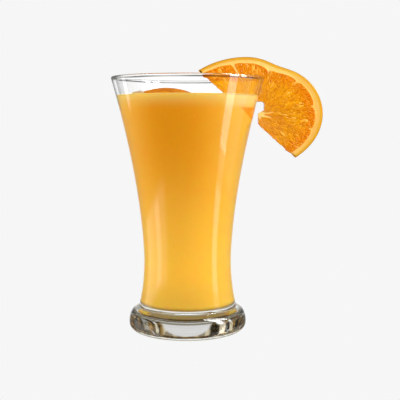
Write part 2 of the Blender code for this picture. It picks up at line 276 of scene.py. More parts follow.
def closed_rings(name, rings, first_pole, last_pole):
    """A closed surface from rings of points (ring, point, xyz), each end closed by a fan to its pole.

    Point i of each ring is joined to point i of the next. The faces are turned round if the volume that they
    enclose, the sum of a . (b x c) over their triangles, comes out below zero.
    """
    count, around = rings.shape[:2]
    points = np.concatenate([rings.reshape(-1, 3), [first_pole, last_pole]])
    ring, place = np.meshgrid(np.arange(count - 1), np.arange(around), indexing="ij")
    after = (place + 1) % around
    here, there = ring * around, (ring + 1) * around
    quads = np.stack([here + place, there + place, there + after, here + after], axis=-1).reshape(-1, 4)
    place = np.arange(around)
    after = (place + 1) % around
    last = (count - 1) * around
    first_fan = np.stack([np.full(around, count * around), place, after], axis=-1)
    last_fan = np.stack([np.full(around, count * around + 1), last + after, last + place], axis=-1)
    triangles = np.concatenate([first_fan, last_fan, quads[:, :3], quads[:, [0, 2, 3]]])
    corners = points[triangles]
    faces = [quads, first_fan, last_fan]
    if np.einsum("ij,ij->", corners[:, 0], np.cross(corners[:, 1], corners[:, 2])) < 0:
        faces = [part[:, ::-1] for part in faces]
    mesh = bpy.data.meshes.new(name)
    mesh.from_pydata(points.tolist(), [], [face for part in faces for face in part.tolist()])
    mesh.shade_smooth()
    obj = bpy.data.objects.new(name, mesh)
    bpy.context.scene.collection.objects.link(obj)
    return obj


def turned(name, profile, steps=TURN_STEPS):
    """Turns a profile of (radius, height) about Z: point (i, j) is (r_i cos a_j, r_i sin a_j, z_i)."""
    angle = np.arange(steps) * (2 * np.pi / steps)
    radius, height = profile[1:-1, :1], profile[1:-1, 1:]
    rings = np.stack(
        np.broadcast_arrays(radius * np.cos(angle), radius * np.sin(angle), height), axis=-1
    )
    return closed_rings(name, rings, (0, 0, profile[0, 1]), (0, 0, profile[-1, 1]))


def read_points(mesh):
    """A mesh's points, as an array (point, xyz)."""
    points = np.empty(len(mesh.vertices) * 3)
    mesh.vertices.foreach_get("co", points)
    return points.reshape(-1, 3)


def arc(centre, radii, start, end, count, power=1):
    """Points of an ellipse's arc, as (radius, height); angles in degrees from the outward direction.

    The cosine and the sine are raised to the power, which makes the ellipse squarer if it is below one.
    """
    angle = np.radians(np.linspace(start, end, count))
    way = np.stack([np.cos(angle), np.sin(angle)], axis=-1)
    return np.array(centre) + np.array(radii) * np.sign(way) * np.abs(way) ** power


def outer_radius(z):
    """The wall's outside: a power curve above the waist, a parabola below it."""
    above = np.clip((z - WAIST_HEIGHT) / (GLASS_HEIGHT - WAIST_HEIGHT), 0, None)
    below = np.clip((WAIST_HEIGHT - z) / (WAIST_HEIGHT - NECK_HEIGHT), 0, None)
    return (
        WAIST_RADIUS
        + (RIM_RADIUS - WAIST_RADIUS) * above**FLARE_POWER
        + (NECK_RADIUS - WAIST_RADIUS) * below**2
    )


def inner_radius(z):
    """The wall's inside: its outside less a thickness that grows evenly from the rim to the floor."""
    share = (GLASS_HEIGHT - z) / (GLASS_HEIGHT - FLOOR_HEIGHT)
    return outer_radius(z) - (RIM_WALL + (FLOOR_WALL - RIM_WALL) * share)


def curve_points(radius_of, heights):
    """Points of the wall's outside or inside at these heights, as (radius, height)."""
    return np.stack([radius_of(heights), heights], axis=-1)


def glass_profile():
    """From the middle of the floor, up the inside, over the round lip, down the outside and round the foot.

    The lip and the lower half of the foot are squared arcs, and its shoulder is an elliptical one. The
    crease between wall and shoulder is a quadratic curve from a point above it to a point beside it.
    """
    corner_z = FLOOR_HEIGHT + FLOOR_CORNER
    corner_r = inner_radius(corner_z) - FLOOR_CORNER
    lip = RIM_WALL / 2
    lip_z = GLASS_HEIGHT - lip
    lip_r = outer_radius(lip_z) - lip
    foot = (FOOT_CONTACT_RADIUS, FOOT_WIDEST_HEIGHT)
    bulge = FOOT_RADIUS - FOOT_CONTACT_RADIUS
    shoulder = arc(foot, (bulge, SHOULDER_HEIGHT - FOOT_WIDEST_HEIGHT), SHOULDER_START, 0, 40)
    crease = np.array([NECK_RADIUS, NECK_HEIGHT])
    crease_top = NECK_HEIGHT + CREASE_SOFTNESS
    above = curve_points(outer_radius, np.array([crease_top]))[0]
    beside = crease + (shoulder[0] - crease) * 0.3
    share = np.linspace(0, 1, 12)[:, None]
    into_crease = above * (1 - share) ** 2 + crease * 2 * share * (1 - share) + beside * share**2
    neck_z = NECK_HEIGHT + 4 * MM
    return np.concatenate(
        [
            [[0, FLOOR_HEIGHT]],
            np.stack([np.linspace(0, corner_r, 12)[1:-1], np.full(10, FLOOR_HEIGHT)], axis=-1),
            arc((corner_r, corner_z), (FLOOR_CORNER, FLOOR_CORNER), -90, 0, 16),
            curve_points(inner_radius, np.linspace(corner_z, lip_z, 90)[1:-1]),
            arc((lip_r, lip_z), (lip, lip), 180, 0, 29, LIP_SQUARENESS),
            curve_points(outer_radius, np.linspace(lip_z, neck_z, 110)[1:]),
            curve_points(outer_radius, np.linspace(neck_z, crease_top, 16)[1:-1]),
            into_crease,
            shoulder,
            arc(foot, (bulge, FOOT_WIDEST_HEIGHT), 0, -90, 40, FOOT_SQUARENESS)[1:],
            [[FOOT_CONTACT_RADIUS - 0.2 * MM, 0], [FOOT_CONTACT_RADIUS / 2, 0], [0, 0]],
        ]
    )


def make_glass(finish):
    """The glass: its profile turned about Z."""
    glass = turned("clear_glass", glass_profile())
    glass.data.materials.append(finish)
    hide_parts("glass")
    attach(glass, "root")


def fruit_distance(x, y):
    """How far a point of the juice's surface is from the slice's dipped end or the wedge's dome.

    The slice is a strip that ends at its cut edge. The dome is a disc, where the surface cuts its sphere.
    """
    cut_x = SLICE_CENTRE[0] + (JUICE_LEVEL - SLICE_CENTRE[1]) / math.tan(SLICE_CUT_ANGLE)
    slice_away = np.hypot(np.clip(cut_x - x, 0, None), np.clip(np.abs(y) - SLICE_THICKNESS / 2, 0, None))
    dome_centre = WEDGE_TOP_HEIGHT - WEDGE_PEEL_RADIUS
    dome_radius = math.sqrt(WEDGE_PEEL_RADIUS**2 - (JUICE_LEVEL - dome_centre) ** 2)
    wedge_away = np.clip(np.hypot(x - WEDGE_CENTRE[0], y - WEDGE_CENTRE[1]) - dome_radius, 0, None)
    return np.minimum(slice_away, wedge_away)


def juice_profile():
    """The juice's surface, which climbs the wall by a power of the distance, and then its side and base.

    It gives the surface's points and those of the whole profile, from the middle of the top outwards.
    """
    top = JUICE_LEVEL + MENISCUS_HEIGHT
    edge = inner_radius(top)
    flat = np.linspace(0, edge - MENISCUS_WIDTH, 70)
    radii = np.concatenate([flat, np.linspace(edge - MENISCUS_WIDTH, edge, 18)[1:]])
    share = np.clip((radii - edge + MENISCUS_WIDTH) / MENISCUS_WIDTH, 0, 1)
    surface = np.stack([radii, JUICE_LEVEL + MENISCUS_HEIGHT * share**MENISCUS_POWER], axis=-1)
    corner_z = FLOOR_HEIGHT + FLOOR_CORNER
    corner_r = inner_radius(corner_z) - FLOOR_CORNER
    corner = FLOOR_CORNER + JUICE_REACH
    side = curve_points(inner_radius, np.linspace(top, corner_z, 110)) + [JUICE_REACH, 0]
    base = arc((corner_r, corner_z), (corner, corner), 0, -90, 14)[1:]
    middle = [[corner_r / 2, base[-1, 1]], [0, base[-1, 1]]]
    return surface, np.concatenate([surface, side, base, middle])


def make_juice(side_finish, top_finish):
    """The drink: its profile turned about Z, its top raised by an exponential of the way to the fruit."""
    surface, profile = juice_profile()
    juice = turned("orange_juice", profile)
    mesh = juice.data
    points = read_points(mesh)
    in_surface = (len(surface) - 2) * TURN_STEPS
    on_top = np.arange(len(points)) < in_surface
    rise = FRUIT_MENISCUS * np.exp(-fruit_distance(points[:, 0], points[:, 1]) / FRUIT_MENISCUS_FADE)
    points[:, 2] += np.where(on_top, rise, 0)
    mesh.vertices.foreach_set("co", points.ravel())
    mesh.materials.append(side_finish)
    mesh.materials.append(top_finish)
    quads = (len(profile) - 3) * TURN_STEPS
    face = np.arange(len(mesh.polygons))
    is_top = (face < in_surface) | ((face >= quads) & (face < quads + TURN_STEPS))
    mesh.polygons.foreach_set("material_index", is_top.astype(np.int32))
    mesh.set_sharp_from_angle(angle=math.radians(35))
    mesh.update()
    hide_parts("juice")
    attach(juice, "root")


def oval_size(points):
    """The slice's size against a true oval's, which dips where its upper right is flattened.

    The dip is a bell curve of the turn about the slice's centre.
    """
    away = points - SLICE_CENTRE
    turn = np.arctan2(away[..., 1], away[..., 0])
    return 1 - FLATTENING_ALL - FLATTENING * np.exp(-(((turn - FLATTENING_ANGLE) / FLATTENING_SPREAD) ** 2))


def oval_inset(points):
    """About how far points of the slice's plane lie inside the peel's outer edge."""
    scaled = np.linalg.norm((points - SLICE_CENTRE) / SLICE_HALF_SIZE, axis=-1) / oval_size(points)
    away = np.linalg.norm(points - SLICE_CENTRE, axis=-1)
    return (1 / np.maximum(scaled, 1e-3) - 1) * away


def ripples(points, length, seed, waves=9):
    """Soft lumps between about -1 and 1: a mean of sines in random directions, of about this wavelength."""
    random = np.random.default_rng(seed)
    turn = random.uniform(0, 2 * np.pi, waves)
    pitch = 2 * np.pi / (length * random.uniform(0.7, 1.5, waves))
    ways = np.stack([np.cos(turn), np.sin(turn)]) * pitch
    return np.sin(points @ ways + random.uniform(0, 2 * np.pi, waves)).mean(axis=-1) * 2


def slice_fields(points):
    """Peel depth, depth within a segment, the segment's number and how pale a membrane is, at points (x, z).

    A segment's depth is the soft least of the distances to its membranes, to the pith and to the core: minus
    the log of the sum of the exponentials of each, taken below zero.
    """
    away = points - SLICE_CORE
    radius = np.linalg.norm(away, axis=-1)
    angle = np.arctan2(away[..., 1], away[..., 0])
    peel = oval_inset(points)
    waver = ripples(np.stack([radius, np.zeros_like(radius)], axis=-1), 14 * MM, 3) * 0.018
    turn = angle[..., None] - MEMBRANE_ANGLES + waver[..., None]
    beside = np.where(np.cos(turn) > 0, np.abs(np.sin(turn)), 1) * radius[..., None]
    segment = (angle[..., None] > MEMBRANE_ANGLES).sum(axis=-1)
    pith = PEEL_THICKNESS - PITH_TRIM + PITH_SWELL * np.cos(angle) + PITH_RIPPLE * ripples(points, 9 * MM, 5)
    membrane = MEMBRANE_WIDTH / 2 + MEMBRANE_RIPPLE * ripples(points, 5 * MM, 8)
    limits = np.stack([beside.min(axis=-1) - membrane, peel - pith, radius - CORE_RADIUS])
    sharp = 1.4 / MM
    depth = -np.log(np.exp(-sharp * np.clip(limits, -8 * MM, 12 * MM)).sum(axis=0)) / sharp
    boldness = MEMBRANE_BOLDNESS[beside.argmin(axis=-1)]
    plain = np.clip(1.1 - (peel - pith) / (3 * MM), 0, 1)
    bold = np.clip(1.6 - (peel - pith) / (9 * MM), 0, 1) * (boldness > 0.5)
    spoke = np.clip(3 - radius / (3 * MM), 0, 1) * (boldness > 0.2)
    shown = np.maximum(plain, np.maximum(bold, spoke))
    return peel, depth + (1 - shown) * 0.55 * MM, segment, shown


def slice_outline(arc_count, cut_count):
    """The half oval, anticlockwise from the cut edge's right end, then back along the uneven cut edge.

    The oval is centre + half size * (cos, sin), scaled by its size there. The cut edge is a straight line
    plus ripples across it that fade at both ends.
    """
    along = np.array([math.cos(SLICE_CUT_ANGLE), math.sin(SLICE_CUT_ANGLE)])
    reach = 1 / np.linalg.norm(along / SLICE_HALF_SIZE)
    start = math.atan2(along[1] / SLICE_HALF_SIZE[1], along[0] / SLICE_HALF_SIZE[0])
    turn = np.linspace(start, start + np.pi, arc_count)
    oval = SLICE_CENTRE + SLICE_HALF_SIZE * np.stack([np.cos(turn), np.sin(turn)], axis=-1)
    oval = SLICE_CENTRE + (oval - SLICE_CENTRE) * oval_size(oval)[:, None]
    share = np.linspace(-1, 1, cut_count + 2)[1:-1, None]
    cut = SLICE_CENTRE + along * reach * share
    uneven = CUT_RIPPLE * ripples(cut, 5 * MM, 21) + FINE_CUT_RIPPLE * ripples(cut, 2 * MM, 22)
    fade = np.clip((1 - np.abs(share[:, 0])) / 0.12, 0, 1)
    cut = cut + np.array([-along[1], along[0]]) * (uneven * fade)[:, None]
    return np.concatenate([oval, cut])


def slice_plate(arc_count=360, cut_count=170, rings=70, edge_rings=7, rounding=0.8 * MM):
    """A plate made of copies of the outline drawn in towards the core, with a rounded outer edge.

    The edge is a quarter circle: drawn in by r (1 - sin t), and back from the face by r (1 - cos t).
    """
    outline = slice_outline(arc_count, cut_count)
    ahead = np.roll(outline, -1, axis=0) - np.roll(outline, 1, axis=0)
    inwards = np.stack([-ahead[:, 1], ahead[:, 0]], axis=-1) / np.linalg.norm(ahead, axis=-1, keepdims=True)
    soft = np.where(np.arange(len(outline)) < arc_count, rounding, 0.3 * MM)
    for _ in range(6):
        soft = (np.roll(soft, 1) + soft + np.roll(soft, -1)) / 3
    soft = soft[:, None]
    half = SLICE_THICKNESS / 2
    turn = np.linspace(0, np.pi / 2, edge_rings)[:, None, None]
    rounded = outline + inwards * soft * (1 - np.sin(turn))
    depth = np.broadcast_to(half - soft * (1 - np.cos(turn)), (edge_rings, len(outline), 1))
    share = (np.arange(1, rings + 1) / (rings + 1))[:, None, None]
    flat = SLICE_CORE + (rounded[0] - SLICE_CORE) * share
    front = np.concatenate([flat, rounded])
    front_y = np.concatenate([np.full(flat.shape[:2] + (1,), half), depth])
    side = np.concatenate([front[..., :1], -front_y, front[..., 1:]], axis=-1)
    back = side[::-1] * [1, -1, 1]
    edge = side[-1:] * [[[1, across, 1]] for across in (0.6, 0.2, -0.2, -0.6)]
    pole = (SLICE_CORE[0], -half, SLICE_CORE[1])
    return closed_rings("half_slice", np.concatenate([side, edge, back]), pole, (pole[0], half, pole[2]))


def slit_tool():
    """What the rim takes out of the slice: the wall and the lip, grown by the clearance, turned about Z."""
    lip = RIM_WALL / 2
    lip_z = GLASS_HEIGHT - lip
    heights = np.linspace(SLIT_BOTTOM, lip_z, 40)
    lip_r = outer_radius(lip_z) - lip
    wide = lip + SLIT_CLEARANCE
    profile = np.concatenate(
        [
            [[0, SLIT_BOTTOM + 0.1 * MM]],
            curve_points(inner_radius, heights) - [SLIT_CLEARANCE, 0],
            arc((lip_r, lip_z), (wide, wide), 180, 0, 16)[1:-1],
            curve_points(outer_radius, heights[::-1]) + [SLIT_CLEARANCE, 0],
            [[0, SLIT_BOTTOM - 0.1 * MM]],
        ]
    )
    return turned("slit_tool", profile)


def notch_tool():
    """What is torn out of the slice beside the wall, under the slit's outer side: an outline run along Y."""
    rounding = NOTCH_ROOF_ROUNDING
    bend = arc((NOTCH_RIGHT - rounding, NOTCH_ROOF - rounding), (rounding, rounding), 90, 0, 9)
    outline = np.concatenate(
        [
            [[NOTCH_LEFT, NOTCH_ROOF]],
            bend,
            [[NOTCH_RIGHT, NOTCH_CORE_TOP], [NOTCH_CORE_EDGE, NOTCH_CORE_TOP - NOTCH_CORE_SLOPE]],
            [[NOTCH_CORE_EDGE, NOTCH_FLOOR], [NOTCH_LEFT, NOTCH_FLOOR]],
        ]
    )
    rings = np.stack([np.insert(outline, 1, y, axis=-1) for y in (-NOTCH_HALF_DEPTH, NOTCH_HALF_DEPTH)])
    return closed_rings("notch_tool", rings, rings[0].mean(axis=0), rings[1].mean(axis=0))


def cut_away(obj, tools):
    """Takes the tools out of a mesh for good, and removes them."""
    for tool in tools:
        cut = obj.modifiers.new("cut", "BOOLEAN")
        cut.operation = "DIFFERENCE"
        cut.solver = "MANIFOLD"
        cut.object = tool
    graph = bpy.context.evaluated_depsgraph_get()
    done = bpy.data.meshes.new_from_object(obj.evaluated_get(graph))
    obj.modifiers.clear()
    obj.data = done
    for tool in tools:
        bpy.data.objects.remove(tool)


def make_slice(finish):
    """The half slice: proud segments between sunken membranes, over the plate that the rim's slit is cut in.

    The relief is a smooth step of the depth within a segment, 3 s^2 - 2 s^3, with lumps where it is deep.
    The mesh carries the slice's fields for its finish.
    """
    plate = slice_plate()
    cut_away(plate, [slit_tool(), notch_tool()])
    mesh = plate.data
    points = read_points(mesh)
    flat = points[:, [0, 2]]
    peel, depth, segment, pale = slice_fields(flat)
    rise = FLESH_RELIEF * np.clip(depth / (0.5 * MM) + 0.5, 0, 1)
    lumps = SAC_LUMP * ripples(flat, 3.2 * MM, 31) + FINE_SAC_LUMP * ripples(flat, 1.5 * MM, 32, 14)
    rise = rise * rise * (3 - 2 * rise / FLESH_RELIEF) / FLESH_RELIEF + lumps * np.clip(depth / MM, 0, 1)
    rise = np.minimum(rise, FLESH_RELIEF)
    points[:, 1] += rise * points[:, 1] / (SLICE_THICKNESS / 2)
    mesh.vertices.foreach_set("co", points.ravel())
    fields = (("peel_depth", peel), ("flesh_depth", depth), ("segment", segment), ("pale", pale))
    for name, values in fields:
        mesh.attributes.new(name, "FLOAT", "POINT").data.foreach_set("value", values.astype(np.float32))
    mesh.shade_smooth()
    mesh.set_sharp_from_angle(angle=math.radians(50))
    mesh.materials.clear()
    mesh.materials.append(finish)
    mesh.update()
    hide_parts("orange_slice")
    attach(plate, "root")


def wedge_rings(lengthwise=80, across=60):
    """Cross sections of the wedge along its length: an arc of peel, two cut faces and a flat bottom.

    At a distance d along the wedge the peel's radius is sqrt(R^2 - d^2), as on a sphere.
    """
    offsets = np.linspace(-WEDGE_LENGTH / 2, WEDGE_LENGTH / 2, lengthwise)
    low = WEDGE_PEEL_RADIUS - WEDGE_DEPTH
    radius = np.sqrt(WEDGE_PEEL_RADIUS**2 - offsets**2)[:, None]
    turn = np.linspace(WEDGE_HALF_ANGLE, -WEDGE_HALF_ANGLE, across)
    peel = np.stack([radius * np.sin(turn), radius * np.cos(turn)], axis=-1)
    down = np.linspace(0, 1, across)[1:, None]
    left_low = np.array([-low * math.tan(WEDGE_HALF_ANGLE), low])
    right_low = -left_low * [1, -1]
    left = peel[:, -1:, :] * (1 - down) + left_low * down
    right = (peel[:, :1, :] * (1 - down) + right_low * down)[:, ::-1][:, :-1]
    bottom = np.broadcast_to(left_low * (1 - down) + right_low * down, left.shape)[:, :-1]
    corner = np.broadcast_to(right_low, (lengthwise, 1, 2))
    section = np.concatenate([peel, left, bottom, corner, right], axis=1)
    along = np.broadcast_to(offsets[:, None, None], section.shape[:2] + (1,))
    return np.concatenate([along, section], axis=-1)


def make_wedge(finish):
    """The wedge's cross sections, tilted and turned about the middle of its orange."""
    local = wedge_rings()
    tilt, turn = WEDGE_TILT, WEDGE_TURN
    along, across, up = local[..., 0], -local[..., 1], local[..., 2]
    across, up = across * math.cos(tilt) - up * math.sin(tilt), across * math.sin(tilt) + up * math.cos(tilt)
    x = along * math.cos(turn) - across * math.sin(turn) + WEDGE_CENTRE[0]
    y = along * math.sin(turn) + across * math.cos(turn) + WEDGE_CENTRE[1]
    rings = np.stack([x, y, up + WEDGE_TOP_HEIGHT - WEDGE_PEEL_RADIUS], axis=-1)
    wedge = closed_rings("floating_wedge", rings, rings[0].mean(axis=0), rings[-1].mean(axis=0))
    wedge.data.materials.append(finish)
    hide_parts("orange_wedge")
    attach(wedge, "root")


def make_fleck(finish):
    """A bit of pulp afloat beside the wedge: an ellipsoid stretched along X, times 1 plus two sines."""
    turn = np.linspace(0, np.pi, 26)[1:-1, None]
    around = (np.arange(40) * (2 * np.pi / 40))[None, :]
    across, up = np.sin(turn) * np.cos(around), np.sin(turn) * np.sin(around)
    way = np.stack(np.broadcast_arrays(np.cos(turn), across, up), axis=-1)
    lumps = 1 + 0.12 * np.sin(5 * way[..., :1] + 1) + 0.1 * np.sin(6 * way[..., 1:2] + 4 * way[..., :1])
    points = way * FLECK_HALF_SIZE * lumps
    ends = [points[end].mean(axis=0) * [1.01, 1, 1] + FLECK_PLACE for end in (0, -1)]
    fleck = closed_rings("pulp_fleck", points + FLECK_PLACE, *ends)
    fleck.data.materials.append(finish)
    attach(fleck, "root")


class Nodes:
    """Adds nodes to a material's or world's tree. A value that is a socket is linked, any other is set."""

    def __init__(self, owner):
        owner.use_nodes = True
        self.tree = owner.node_tree
        self.tree.nodes.clear()

    def put(self, socket, value):
        """Links or sets one input. None leaves it as it is."""
        if isinstance(value, bpy.types.NodeSocket):
            self.tree.links.new(value, socket)
        elif value is not None:
            socket.default_value = value

    def node(self, kind, *values, **settings):
        """A node of this kind, with its own settings, and values for its inputs in order."""
        made = self.tree.nodes.new("ShaderNode" + kind)
        for name, value in settings.items():
            setattr(made, name, value)
        for socket, value in zip(made.inputs, values):
            self.put(socket, value)
        return made

    def named(self, kind, **values):
        """A node whose inputs are set by name, with _ for a space."""
        made = self.tree.nodes.new("ShaderNode" + kind)
        for name, value in values.items():
            self.put(made.inputs[name.replace("_", " ")], value)
        return made

    def math(self, operation, first, *others):
        """One sum of this kind, or with more than two values a chain that takes them from left to right."""
        result = self.node("Math", first, *others[:1], operation=operation).outputs[0]
        for value in others[1:]:
            result = self.node("Math", result, value, operation=operation).outputs[0]
        return result

    def smooth(self, value, low, high, start=0.0, end=1.0):
        """Goes smoothly from start to end as value goes from low to high."""
        made = self.node("MapRange", value, low, high, start, end, interpolation_type="SMOOTHSTEP")
        return made.outputs[0]

    def over(self, value, low, high, start=0.0, end=1.0):
        """As smooth does, with low and high in millimetres."""
        return self.smooth(value, low * MM, high * MM, start, end)

    def mix(self, share, first, second):
        """The first colour where share is 0, and the second where it is 1."""
        made = self.node("Mix", data_type="RGBA")
        for index, value in ((0, share), (6, first), (7, second)):
            self.put(made.inputs[index], value)
        return made.outputs[2]

    def where(self):
        """Object coordinates."""
        return self.node("TexCoord").outputs["Object"]

    def place(self):
        """Object coordinates, split into X, Y and Z."""
        return self.node("SeparateXYZ", self.where()).outputs

    def noise(self, scale, detail, where=None):
        """Cloudy noise about 0.5, with scale lumps in a metre, or in one unit of other coordinates."""
        return self.node("TexNoise", where or self.where(), None, scale, detail).outputs["Fac"]

    def carried(self, name):
        """A value that the mesh carries at its points."""
        return self.node("Attribute", attribute_name=name).outputs["Fac"]

    def bump(self, strength, distance, height):
        """A normal that leans with this height."""
        made = self.named("Bump", Strength=strength, Distance=distance, Height=height)
        return made.outputs[0]

    def end(self, surface, volume=None):
        """The tree's output, of the kind that its surface shader asks for."""
        is_world = surface.node.bl_idname == "ShaderNodeBackground"
        out = self.tree.nodes.new("ShaderNodeOutputWorld" if is_world else "ShaderNodeOutputMaterial")
        self.put(out.inputs["Surface"], surface)
        self.put(out.inputs["Volume"], volume)


def grey(value):
    """A grey of this light."""
    return (value, value, value, 1)


def glass_painted_shading(n):
    """White, with painted shade for the dark lines at the lip and the left edge and the brown line at the
    shoulder, and painted reflections in brown and gold at the foot's corners.

    Each mask is a product of smooth steps by height, by X or by how far the surface turns away. The corners
    lie outside the lower half of an ellipse, where (x / a)^2 + (z / b)^2 is above one.
    """
    spot = n.place()
    x, z = spot["X"], spot["Z"]
    uneven = n.noise(28.0, 2.0, n.node("CombineXYZ", x, spot["Y"]).outputs[0])
    # Painted shade: a dark line round the lip, a darker top to the lip, a dark left edge where the wall
    # turns away, and a dark left end of the lip.
    off_line = n.math("ABSOLUTE", n.math("SUBTRACT", z, LIP_LINE_HEIGHT))
    line = n.math("MULTIPLY", n.over(off_line, 0.12, 0.5, 1.0, 0.0), n.smooth(uneven, 0.3, 0.6, 0.55, 1.0))
    lip_top = n.over(z, 129.45, 129.9, 0.0, 0.6)
    facing = n.node("LayerWeight", 0.5).outputs["Facing"]
    left_edge = n.math(
        "MULTIPLY", n.smooth(facing, 0.72, 0.88), n.over(z, 110, 118), n.over(x, 6, -6, 0.0, 0.9)
    )
    left_end = n.math("MULTIPLY", n.over(x, -29, -36), n.over(z, 127.9, 128.4))
    dark = n.math("MAXIMUM", line, lip_top, left_edge, left_end)
    shaded_glass = n.mix(dark, WHITE, LIP_PAINTED_SHADE)
    # Painted shade: a dark brown line round the foot's shoulder.
    shoulder = n.math("MULTIPLY", n.over(z, 11.3, 10.9), n.over(z, 9.4, 9.95))
    shaded_glass = n.mix(shoulder, shaded_glass, SHOULDER_PAINTED_SHADE)
    # Painted reflections: brown and gold in the foot's corners, outside a clear pane in the middle.
    across = n.math("MULTIPLY", x, 1 / FOOT_PANE_HALF_WIDTH)
    below = n.math("MINIMUM", n.math("SUBTRACT", z, FOOT_PANE_TOP), 0.0)
    below = n.math("MULTIPLY", below, 1 / FOOT_PANE_DEPTH)
    out_of_pane = n.math("ADD", n.math("MULTIPLY", across, across), n.math("MULTIPLY", below, below))
    corner = n.math("MULTIPLY", n.smooth(out_of_pane, 0.85, 1.2), n.over(z, 9.2, 7.8), n.over(z, 1.5, 2.1))
    brown = n.mix(n.smooth(n.noise(260.0, 3.0), 0.42, 0.6), FOOT_PAINTED_DARK_REFLECTION, FOOT_PAINTED_GOLD_REFLECTION)
    return n.mix(corner, shaded_glass, brown)


def clear_glass():
    """Clear glass that bends sight, but lets the light of lamps and of what it holds straight through."""
    material = bpy.data.materials.new("clear glass")
    n = Nodes(material)
    glass = n.named(
        "BsdfPrincipled", Base_Color=glass_painted_shading(n), Roughness=0.0, IOR=GLASS_IOR, Transmission_Weight=1.0
    ).outputs[0]
    through = n.node("BsdfTransparent", GLASS_FOR_LAMPS).outputs[0]
    path = n.node("LightPath").outputs
    surface = n.node("MixShader", path["Is Diffuse Ray"], glass, through).outputs[0]
    surface = n.node("MixShader", path["Is Shadow Ray"], surface, through).outputs[0]
    n.end(surface, n.node("VolumeAbsorption", GLASS_INSIDE, GLASS_DENSITY).outputs[0])
    return material


def juice_colour(n):
    """Painted light and shade: deep orange towards the top and yellower towards the foot, lighter at the
    sides and in a band at the right, a pale glow under the surface, and painted shade in the floor's corner;
    and the deeper orange of the slice's dipped end beside the wall.

    Each colour goes over the last by a smooth step of height or of X, the heights shifted a little by noise.
    """
    spot = n.place()
    x, z = spot["X"], spot["Z"]
    cloud = n.math("SUBTRACT", n.noise(45.0, 3.0), 0.5)
    height = n.math("ADD", z, n.math("MULTIPLY", cloud, CLOUD_SHIFT))
    # Painted light and shade: lighter low down, deeper orange high up.
    body = n.mix(n.over(height, 35, 105), JUICE_LOW_PAINTED_LIGHT, JUICE_HIGH_PAINTED_SHADE)
    body = n.mix(n.over(z, 34, 14, 0.0, 0.9), body, JUICE_NEAR_FOOT)
    # Painted light: lighter at both sides, as if lit from there.
    sides = n.math("MAXIMUM", n.over(x, 0.0, 30, 0.0, 0.75), n.over(x, -13, -36, 0.0, 0.7))
    body = n.mix(sides, body, JUICE_SIDES_PAINTED_LIGHT)
    body = n.mix(n.smooth(n.noise(900.0, 3.0), 0.55, 0.75, 0.0, 0.12), body, JUICE_BITS)
    # Painted light: a pale glow just under the surface, as of light from above.
    level = n.math("ADD", z, n.math("MULTIPLY", cloud, BAND_SHIFT))
    pale = n.math("POWER", n.over(level, 112.5, 122.5), 1.3)
    body = n.mix(pale, body, JUICE_PAINTED_GLOW_BAND)
    # Painted light: a brighter band at the right, as if lit from that side.
    bright = n.math("MULTIPLY", n.over(x, 14, 28), n.over(z, 113.8, 117.5), 0.8)
    body = n.mix(bright, body, JUICE_PAINTED_LIGHT_BAND)
    slope = n.math("ADD", x, n.math("MULTIPLY", z, DIPPED_SLOPE))
    dipped = n.math("MULTIPLY", n.over(slope, 131.8, 133), n.over(z, 115, 114.4), n.over(z, 104, 108))
    body = n.mix(dipped, body, DIPPED_SLICE)
    # Painted shade in the floor's corner.
    body = n.mix(n.over(z, 15.2, 13.4, 0.0, 0.85), body, JUICE_CORNER_PAINTED_SHADE)
    body = n.mix(n.over(z, 13.5, 13.2), body, JUICE_UNDERSIDE)
    return n.mix(n.over(z, 119.9, 120.9), body, JUICE_BRIM)


def surface_colour(n):
    """The juice's top: pale froth traces in soft patches over the orange, darker where it meets the wall."""
    spot = n.place()
    away = n.node("VectorMath", n.node("CombineXYZ", spot["X"], spot["Y"]).outputs[0], operation="LENGTH")
    froth = n.mix(n.smooth(n.noise(160.0, 4.0), 0.4, 0.7), SURFACE_ORANGE, SURFACE_FROTH)
    return n.mix(n.over(away.outputs["Value"], 31, 33.5), froth, SURFACE_EDGE)


def juice_finish(name, colour_of, roughness, shine):
    """Cloudy juice that light soaks into, faintly uneven, with this colour, roughness and shine."""
    material = bpy.data.materials.new(name)
    n = Nodes(material)
    shader = n.named(
        "BsdfPrincipled",
        Base_Color=colour_of(n),
        Roughness=roughness,
        IOR=JUICE_IOR,
        Specular_IOR_Level=shine,
        Subsurface_Weight=1.0,
        Subsurface_Radius=(1.0, 0.45, 0.12),
        Subsurface_Scale=8 * MM,
        Normal=n.bump(0.15, 0.1 * MM, n.noise(700.0, 3.0)),
    )
    n.end(shader.outputs[0])
    return material


